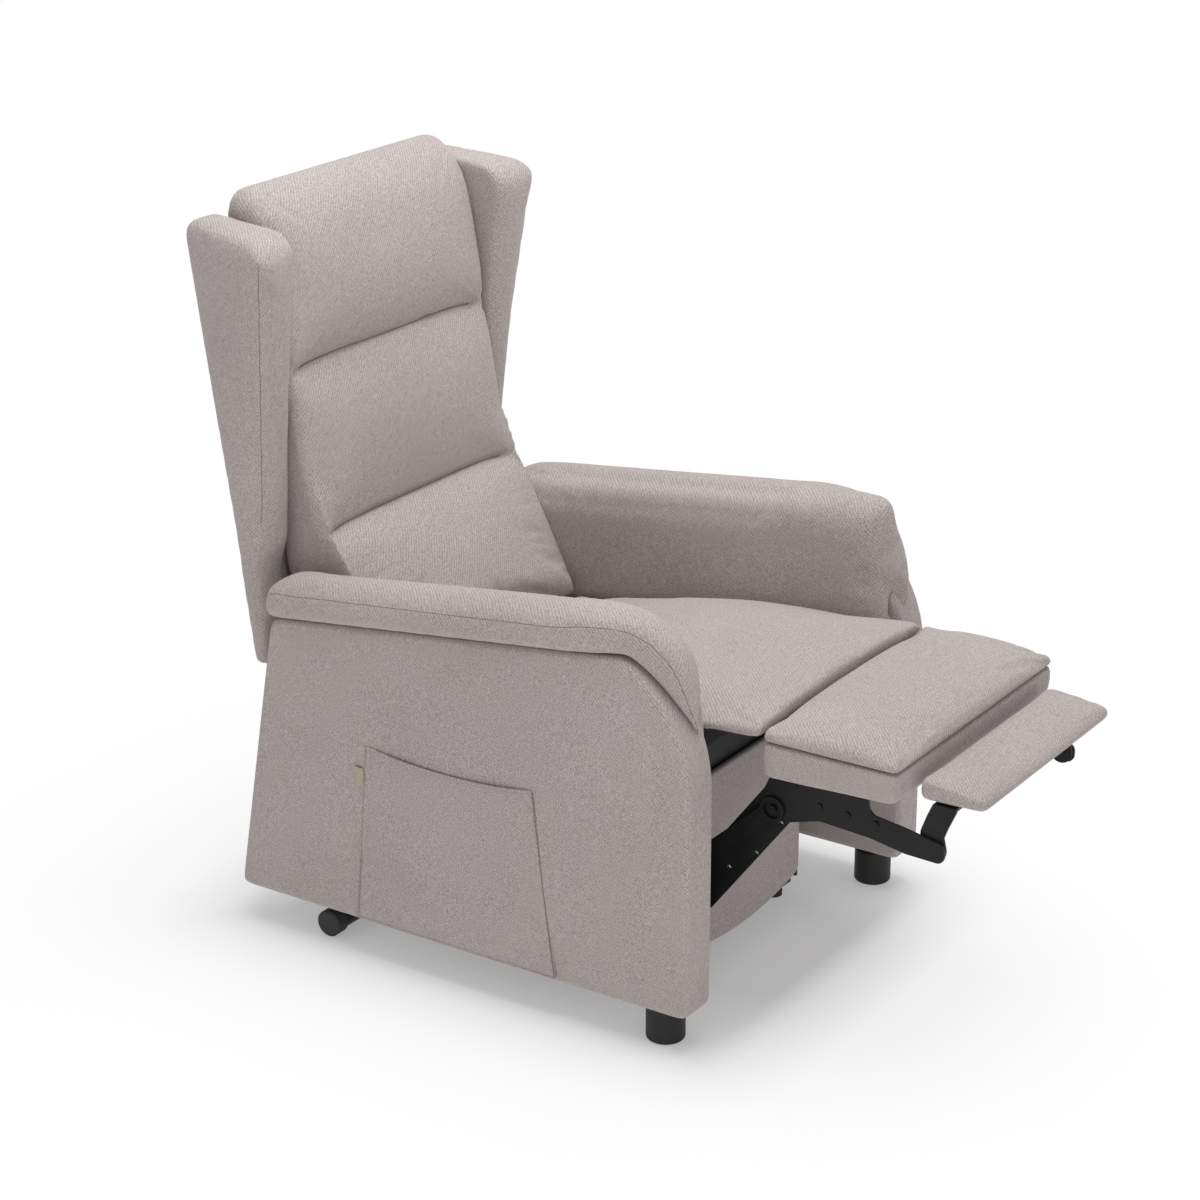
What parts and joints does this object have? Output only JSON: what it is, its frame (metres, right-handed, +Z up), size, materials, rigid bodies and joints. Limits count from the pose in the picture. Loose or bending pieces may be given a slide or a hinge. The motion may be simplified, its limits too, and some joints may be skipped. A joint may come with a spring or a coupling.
{
  "type": "lift recliner",
  "caption": "Wing-back lift recliner in pale woven fabric, with a reclining sectioned back, a fold-out footrest with a flip pad, a side pocket and a lifting floor base.",
  "frame": {"origin": "on the floor, under the middle of the chair's box with the footrest out", "axes": "+Z up, the sitter faces -Y, +X is the sitter's left"},
  "size_m": [0.7538, 1.3223, 1.168],
  "materials": {
    "upholstery_fabric": "woven, pale warm grey",
    "black_steel": "satin black powder coat",
    "rod_steel": "polished",
    "zinc_steel": "black zinc",
    "actuator_aluminium": "dark anodised",
    "plywood": "plywood",
    "beech": "planed beech",
    "black_plastic": "moulded, fine grain",
    "black_rubber": "matt",
    "webbing": "woven elastic straps",
    "label_cloth": "plain woven tab"
  },
  "bodies": {
    "floor_base": {"floor_rear_tube": "black_steel", "floor_tube_caps": "black_rubber", "floor_rails": "black_steel", "floor_front_glides": "black_plastic", "lift_pivot_brackets": "black_steel", "lift_pivot_pins": "zinc_steel", "lift_motor_bracket": "black_steel"},
    "lift_arms": {"lift_arms": "black_steel", "lift_arm_tube": "black_steel", "lift_levers": "black_steel"},
    "control_arms": {"control_arms": "black_steel"},
    "lift_actuator": {"lift_actuator_tube": "actuator_aluminium", "lift_motor": "black_plastic"},
    "lift_rod": {"lift_rod": "rod_steel"},
    "chassis": {"side_plates": "black_steel", "chassis_cross_tubes": "black_steel", "chassis_pins": "zinc_steel", "motor_clevises": "black_steel", "seat_side_rails": "beech", "cross_rails": "beech", "seat_straps": "webbing", "side_panel_left": "upholstery_fabric", "side_panel_right": "upholstery_fabric", "panel_cores": "plywood", "front_legs": "black_plastic", "leg_studs": "zinc_steel", "arm_pad_left": "upholstery_fabric", "arm_pad_right": "upholstery_fabric", "seat_cushion": "upholstery_fabric", "front_panel": "upholstery_fabric", "side_pocket": "upholstery_fabric", "pocket_label": "label_cloth", "control_box": "black_plastic", "back_actuator_tube": "actuator_aluminium", "back_motor": "black_plastic", "footrest_actuator_tube": "actuator_aluminium", "footrest_motor": "black_plastic"},
    "back": {"back_shell": "upholstery_fabric", "back_frame": "black_steel", "back_straps": "webbing", "back_hinge_plates": "black_steel", "back_drive_levers": "black_steel", "head_cushion": "upholstery_fabric", "middle_cushion": "upholstery_fabric", "lumbar_cushion": "upholstery_fabric", "wing_left": "upholstery_fabric", "wing_right": "upholstery_fabric"},
    "back_rod": {"back_rod": "rod_steel"},
    "footrest_links": {"footrest_front_links": "black_steel"},
    "rear_links": {"footrest_rear_links": "black_steel", "footrest_drive_tube": "black_steel"},
    "footrest_rod": {"footrest_rod": "rod_steel"},
    "footrest": {"footrest_rails": "black_steel", "footrest_rivets": "black_steel", "footrest_base": "upholstery_fabric", "footrest_cushion": "upholstery_fabric"},
    "flip_pad": {"flip_pad": "upholstery_fabric", "flip_brackets": "black_steel"}
  },
  "joints": [
    {"name": "lift", "type": "hinge", "parent": "floor_base", "child": "lift_arms", "pos_m": [0, -0.098, 0.05], "axis": [1, 0, 0], "range_deg": [0, 40]},
    {"name": "chassis_tilt", "type": "hinge", "parent": "lift_arms", "child": "chassis", "pos_m": [0, 0.382, 0.11], "axis": [1, 0, 0], "range_deg": [-18.5, 0.5]},
    {"name": "control_arm_swing", "type": "hinge", "parent": "floor_base", "child": "control_arms", "pos_m": [0, -0.07, 0.10783], "axis": [1, 0, 0], "range_deg": [-0.5, 44.02]},
    {"name": "lift_actuator_swing", "type": "hinge", "parent": "floor_base", "child": "lift_actuator", "pos_m": [0, 0.3, 0.075], "axis": [1, 0, 0], "range_deg": [-0.5, 1.92]},
    {"name": "lift_rod_slide", "type": "slide", "parent": "lift_actuator", "child": "lift_rod", "axis": [0, -0.9962, 0.0876], "range_m": [-0.001, 0.04077]},
    {"name": "recline", "type": "hinge", "parent": "chassis", "child": "back", "pos_m": [0, 0.4, 0.32], "axis": [-1, 0, 0], "range_deg": [0, 35]},
    {"name": "back_rod_slide", "type": "slide", "parent": "chassis", "child": "back_rod", "axis": [0, -1, 0], "range_m": [-0.001, 0.04305]},
    {"name": "footrest", "type": "hinge", "parent": "chassis", "child": "footrest_links", "pos_m": [0, -0.1935, 0.191], "axis": [-1, 0, 0], "range_deg": [0, 25]},
    {"name": "rear_link_swing", "type": "hinge", "parent": "chassis", "child": "rear_links", "pos_m": [0, -0.0736, 0.1379], "axis": [-1, 0, 0], "range_deg": [-0.5, 22.2]},
    {"name": "footrest_rod_slide", "type": "slide", "parent": "chassis", "child": "footrest_rod", "axis": [0, 1, 0], "range_m": [-0.001, 0.03489]},
    {"name": "footrest_tilt", "type": "hinge", "parent": "footrest_links", "child": "footrest", "pos_m": [0, -0.338, 0.383], "axis": [1, 0, 0], "range_deg": [-1, 111]},
    {"name": "flip_pad_tilt", "type": "hinge", "parent": "footrest", "child": "flip_pad", "pos_m": [0, -0.583, 0.362], "axis": [1, 0, 0], "range_deg": [-1, 81]}
  ],
  "couplings": [
    {"joint": "chassis_tilt", "follows": "lift", "ratio": -0.45},
    {"joint": "control_arm_swing", "follows": "lift", "ratio": 1.088},
    {"joint": "lift_actuator_swing", "follows": "lift", "ratio": 0.035597},
    {"joint": "lift_rod_slide", "follows": "lift", "m_per_rad": 0.05697},
    {"joint": "back_rod_slide", "follows": "recline", "m_per_rad": 0.068831},
    {"joint": "rear_link_swing", "follows": "footrest", "ratio": 0.8681},
    {"joint": "footrest_rod_slide", "follows": "footrest", "m_per_rad": 0.077667},
    {"joint": "footrest_tilt", "follows": "footrest", "ratio": 4.4},
    {"joint": "flip_pad_tilt", "follows": "footrest", "ratio": 3.2}
  ]
}
